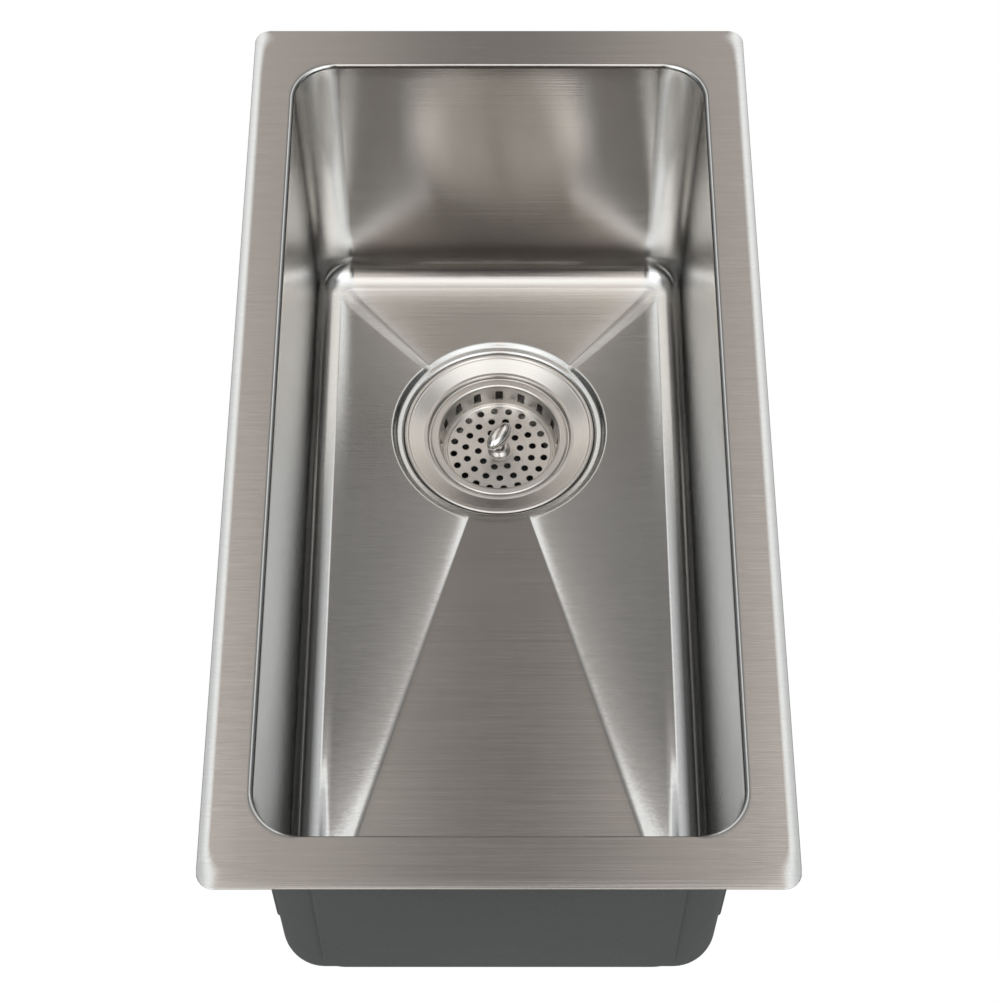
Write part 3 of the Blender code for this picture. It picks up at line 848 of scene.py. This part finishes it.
def basket_cutters():
    """Points and faces of the flared pins and the bars that pierce the basket.

    A pin is a circle whose radius flares at both faces of the sheet; a bar is a rectangle with
    round corners drawn out along the radius.
    """
    turn = full_turn(20)
    pin_rows = [
        (2.7, -23.0),
        (2.25, -21.1),
        (1.98, -20.75),
        (1.98, -20.45),
        (2.25, -20.1),
        (2.7, -18.5),
    ]
    points, quads, triangles, base = [], [], [], 0

    def add_loft(rings):
        nonlocal base
        got, faces, fans = closed_loft(np.stack([np.stack(ring, axis=-1) for ring in rings]))
        points.append(got)
        quads.append(faces + base)
        triangles.append(fans + base)
        base += len(got)

    for ring_radius, count, first in HOLE_RINGS:
        for angle in np.radians(first) + full_turn(count):
            x, y = ring_radius * math.cos(angle), ring_radius * math.sin(angle)
            pin = [(x + r * np.cos(turn), y + r * np.sin(turn), z + 0 * turn) for r, z in pin_rows]
            add_loft(pin)
    side = np.sign(np.cos(turn + NUDGE)) * (SLOT_HALF_WIDE - SLOT_CORNER)
    side = side + SLOT_CORNER * np.cos(turn)
    level = np.sign(np.sin(turn + NUDGE)) * (SLOT_HALF_TALL - SLOT_CORNER)
    level = level + SLOT_CORNER * np.sin(turn) + SLOT_MIDDLE
    for angle in np.pi / 2 + full_turn(SLOT_COUNT):
        c, s = math.cos(angle), math.sin(angle)
        add_loft([(out * c - side * s, out * s + side * c, level) for out in (SLOT_FROM, SLOT_TO)])
    placed = np.vstack(points) * MM + (0, DRAIN_Y, DECK)
    return placed, np.vstack(quads), np.vstack(triangles)


def cut_away(piece, cutters, sharp):
    """Subtracts closed shapes from a piece and keeps the result as its mesh."""
    points, quads, triangles = cutters
    mesh = bpy.data.meshes.new("cutters")
    mesh.from_pydata(points.tolist(), [], [*quads.tolist(), *triangles.tolist()])
    mesh.update()
    cutter = bpy.data.objects.new("cutters", mesh)
    bpy.context.scene.collection.objects.link(cutter)
    if signed_volume(mesh) < 0:
        mesh.flip_normals()
    boolean = piece.modifiers.new("holes", "BOOLEAN")
    boolean.operation = "DIFFERENCE"
    boolean.object = cutter
    depsgraph = bpy.context.evaluated_depsgraph_get()
    result = bpy.data.meshes.new_from_object(piece.evaluated_get(depsgraph))
    piece.modifiers.remove(boolean)
    bpy.data.objects.remove(cutter, do_unlink=True)
    piece.data = result
    result.shade_smooth()
    result.set_sharp_from_angle(angle=math.radians(sharp))


def make_knob(steel):
    """A flattened oval grip on a round stem, with a socket for the post.

    The grip's level sections are ellipses whose half lengths go as sin(a)^0.75 while their height
    goes as cos(a), and they become the stem's circles below.
    """
    centre = (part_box("knob")[1][2] - DECK) / MM - KNOB_HEIGHT / 2
    lean = np.linspace(0.02, math.pi * 6 / 7, 40)
    size = np.sin(lean) ** 0.75
    level = centre + KNOB_HEIGHT / 2 * np.cos(lean)
    grip = np.stack([KNOB_LENGTH / 2 * size, KNOB_WIDTH / 2 * size, level], axis=-1)
    stem = [
        (KNOB_STEM + 0.5, -9.15),
        (KNOB_STEM, -9.7),
        (KNOB_STEM, -12.5),
        (KNOB_STEM - 0.3, -12.8),
        (KNOB_BORE, -12.8),
        (KNOB_BORE, -9.8),
    ]
    rows = np.vstack([grip, [(radius, radius, z) for radius, z in stem]])
    along, across, heights = rows.T[:, :, None]
    turn = full_turn(96)
    u, v = along * np.cos(turn), across * np.sin(turn)
    x = (u * math.cos(KNOB_TURN) - v * math.sin(KNOB_TURN)) * MM
    y = DRAIN_Y + (u * math.sin(KNOB_TURN) + v * math.cos(KNOB_TURN)) * MM
    grid = np.stack([x, y, DECK + heights * MM + 0 * x], axis=-1)
    points, quads, triangles = closed_loft(grid)
    add_piece("knob", points, quads, "basket", "strainer_steel", [steel], triangles, sharp=50)


def make_fixings(plate, zinc, rubber, fibre, putty):
    """The putty, gasket, washers, nuts and tube under the bowl."""
    putty_ring = [
        (56.6, -1.9),
        (54.0, -1.95),
        (46.0, -4.8),
        (46.0, -5.35),
        (54.0, -2.5),
        (56.6, -2.45),
    ]
    gasket = [
        (57.5, -4.35),
        (54.0, -4.35),
        (46.2, -7.45),
        (44.6, -8.1),
        (44.6, -11.0),
        (57.5, -11.0),
    ]
    friction_washer = [(56.0, -11.3), (42.2, -11.3), (42.2, -12.3), (56.0, -12.3)]
    tail_washer = [(22.3, -62.3), (18.2, -62.3), (18.2, -64.3), (22.3, -64.3)]
    rings = (
        ("putty_ring", putty_ring, "plumbers_putty", putty),
        ("rubber_gasket", gasket, "black_rubber", rubber),
        ("friction_washer", friction_washer, "fibre_board", fibre),
        ("tailpiece_washer", tail_washer, "black_rubber", rubber),
    )
    for node, corners, slot, finish in rings:
        turned_piece(node, rounded_profile(corners, 0.4), "sink", slot, finish)
    tail = (TAIL_LOW[2] - DECK) / MM
    tube = [
        (21.8, -64.6),
        (18.2, -64.6),
        (18.2, tail),
        (19.05, tail),
        (19.05, -65.8),
        (21.8, -65.8),
    ]
    turned_piece("tailpiece", rounded_profile(tube, 0.3), "sink", "chrome_plate", plate)
    nut = [
        (41.8, -24.0),
        (41.8, -12.6),
        (55.0, -12.6),
        (55.0, -15.8),
        (47.0, -16.2),
        (47.0, -24.0),
    ]
    ears = lobes(47.0, count=6, rise=6.6, sharpness=3.2)
    turned_piece("locknut", rounded_profile(nut, 0.7), "sink", "zinc_casting", zinc, 192, ears)
    coupling = [
        (19.65, -68.4),
        (19.65, -66.2),
        (24.1, -66.2),
        (24.1, -50.0),
        (26.6, -50.0),
        (26.6, -51.0),
        (26.6, -67.0),
        (25.4, -68.4),
    ]
    grips = lobes(26.6, count=12, rise=1.5, sharpness=1.6)
    profile = rounded_profile(coupling, 0.5)
    turned_piece("coupling_nut", profile, "sink", "chrome_plate", plate, 192, grips)


def make_basket_fixings(steel, rubber):
    """The post with its collar, detent ring, washer and stopper; the post's nut is the imported
    model's own.
    """
    post = [(0.02, -10.1), (2.3, -10.1), (2.6, -10.4), (2.6, -43.2), (1.7, -44.6), (0.02, -44.6)]
    turned_piece("basket_post", post, "basket", "strainer_steel", steel, 48, solid=True)
    collar = [(2.9, -16.9), (4.6, -17.2), (6.6, -18.7), (7.0, -19.9), (2.9, -19.9)]
    turned_piece("post_collar", rounded_profile(collar, 0.5), "basket", "strainer_steel", steel, 72)
    seal = [
        (3.0, -21.4),
        (9.0, -21.4),
        (9.6, -23.4),
        (20.0, -25.1),
        (26.6, -28.3),
        (29.6, -32.0),
        (28.6, -32.7),
        (25.4, -30.1),
        (18.6, -27.2),
        (9.8, -25.4),
        (3.0, -25.4),
    ]
    turned_piece("stopper_seal", rounded_profile(seal, 0.6), "stopper", "black_rubber", rubber, 96)
    washer = rounded_profile([(3.0, -25.8), (9.2, -25.8), (9.2, -26.7), (3.0, -26.7)], 0.2)
    turned_piece("stopper_washer", washer, "stopper", "strainer_steel", steel, 72)
    detent = rounded_profile([(2.9, -39.6), (3.5, -40.2), (3.5, -41.6), (2.9, -42.2)], 0.2)
    turned_piece("detent_ring", detent, "basket", "strainer_steel", steel, 48)


# ---------------------------------------------------------------- stage

def make_studio():
    """A pale floor far below, a white surround, and soft light that the camera doesn't see.

    The light comes from above the level, in three parts along the sink: ahead of it, overhead and
    behind. Each part changes with the lean to the sides, which gives the bowl its bands.
    """
    world = bpy.data.worlds.new("studio")
    bpy.context.scene.world = world
    world.use_nodes = True
    f = Finish(world.node_tree)
    direction = f.node("ShaderNodeTexCoord", {}, {}, "Generated")
    x, y, z = f.axes(direction)
    above = z.ramp(-0.05, 0.1)
    # Pitch is from the zenith towards +Y and lean is sideways, both in degrees
    pitch = y.math("ARCTAN2", z) * math.degrees(1)
    lean = x.size().math("ARCSINE") * math.degrees(1)
    ahead = pitch.ramp(1, 8)
    behind = pitch.ramp(-26.5, -22.5, 1, 0)
    ahead_light = 0.18 + pitch.ramp(21, 27) * 0.07 + pitch.ramp(34, 44) * 0.02
    ahead_light = ahead_light + lean.ramp(0.5, 5) * 0.3 + lean.ramp(7, 9.3) * 0.95
    ahead_light = ahead_light - lean.ramp(10.5, 15.5) * 0.6 - lean.ramp(15.5, 50) * 0.75
    overhead_light = 0.1 + lean.ramp(24, 50, 1, 0) * (1.6 + pitch.ramp(-20, -12, 0.4, 0))
    centre = 0.12 + lean.ramp(1.5, 4) * 1.1
    wings = lean.ramp(8, 12) * lean.ramp(34, 50, 1, 0) * pitch.ramp(-68, -58, 0.3, 1)
    behind_light = centre * pitch.ramp(-52, -44) + wings * 1.3 + 0.03
    across = ahead * ahead_light + behind * behind_light + (1 - ahead - behind) * overhead_light
    light = across * above + 0.35 * (1 - above)
    cool = (lean.ramp(7, 11) + 1 - ahead - behind).clipped()
    warm = f.mix(cool, (1.0, 0.955, 0.915), (0.98, 1.0, 1.0))
    seen = f.node("ShaderNodeLightPath", {}, {}, "Is Camera Ray")
    lit = f.node("ShaderNodeBackground", {}, [warm, light])
    plain = f.node("ShaderNodeBackground", {}, [(1, 1, 1, 1), 1.0])
    both = f.node("ShaderNodeMixShader", {}, [seen, lit, plain])
    f.node("ShaderNodeOutputWorld", {}, {"Surface": both})

    half, drop = 6.0, 1.2
    corners = [(x * half, y * half, -drop) for x, y in ((-1, -1), (1, -1), (1, 1), (-1, 1))]
    mesh = bpy.data.meshes.new("floor")
    mesh.from_pydata(corners, [], [(0, 1, 2, 3)])
    # White to the camera and duller in reflections, so that bright metal stands out from it
    pale = bpy.data.materials.new("pale_floor")
    pale.use_nodes = True
    f = Finish(pale.node_tree)
    seen = f.node("ShaderNodeLightPath", {}, {}, "Is Camera Ray")
    in_reflections = 0.45
    strength = seen * (1 - in_reflections) + in_reflections
    glow = f.node("ShaderNodeEmission", {}, [(1, 1, 1, 1), strength])
    f.node("ShaderNodeOutputMaterial", {}, {"Surface": glow})
    mesh.materials.append(pale)
    floor = bpy.data.objects.new("floor", mesh)
    bpy.context.scene.collection.objects.link(floor)


def make_camera():
    """Looks down into the bowl from in front of it, 59 degrees below the level."""
    camera = bpy.data.cameras.new("camera")
    camera.lens = 83.74
    camera.sensor_width = 36
    camera.clip_start = 0.01
    holder = bpy.data.objects.new("camera", camera)
    holder.location = (0.0005, -0.6480, 0.9903)
    holder.rotation_euler = (math.radians(90 - 58.98), 0, 0)
    bpy.context.scene.collection.objects.link(holder)
    bpy.context.scene.camera = holder


def finish_cad_nodes(steel, coat):
    """Gives the CAD nodes that stay in view their materials."""
    finishes = {"post_nut": steel, "outlet_crosspiece": steel, "sound_pad_bottom": coat}
    for name, finish in finishes.items():
        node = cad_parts[name]
        node.data.materials.clear()
        node.data.materials.append(finish)


def main():
    steel, coat = bowl_steel(), undercoat()
    strainer = turned_steel("turned_strainer_steel", STRAINER_STEEL, 0.3, 0.25)
    rubber = black_rubber()
    make_camera()
    make_studio()
    make_bowl(steel, coat)
    make_pads(coat)
    make_strainer(strainer)
    make_basket_cup(strainer)
    make_knob(polished_steel())
    make_fixings(chrome(), cast_zinc(), rubber, fibre_board(), set_putty())
    make_basket_fixings(strainer, rubber)
    finish_cad_nodes(strainer, coat)
    bpy.context.scene.view_settings.view_transform = "Standard"


main()
